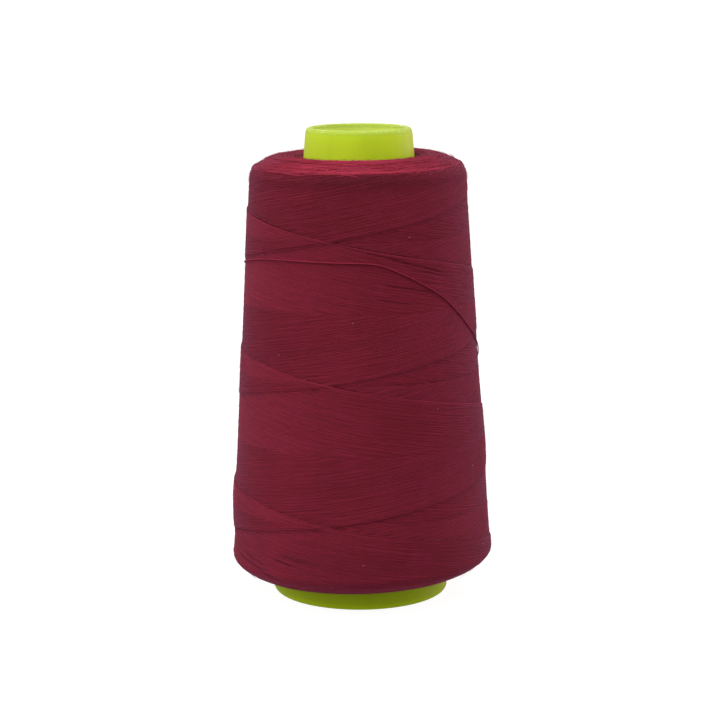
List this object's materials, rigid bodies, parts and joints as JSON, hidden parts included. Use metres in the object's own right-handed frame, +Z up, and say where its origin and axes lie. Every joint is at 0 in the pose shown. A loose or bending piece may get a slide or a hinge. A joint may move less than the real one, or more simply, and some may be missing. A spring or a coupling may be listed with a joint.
{
  "type": "cone of sewing thread on a plastic core",
  "caption": "Tapered cross-wound cone of crimson sewing thread on a hollow lime plastic core, standing on its wide end, with a loose thread end.",
  "frame": {"origin": "centre of the core's foot ring, on the surface that the cone stands on", "axes": "+Z up the core's axis from the wide end to the collar, -Y towards the front"},
  "size_m": [0.0647, 0.0647, 0.115],
  "materials": {
    "core_plastic": "semi-gloss moulded plastic, slightly translucent",
    "thread": "cross-wound spun polyester thread with a soft sheen"
  },
  "bodies": {
    "root": {"core": "core_plastic", "winding": "thread", "loose_end": "thread"}
  },
  "joints": []
}
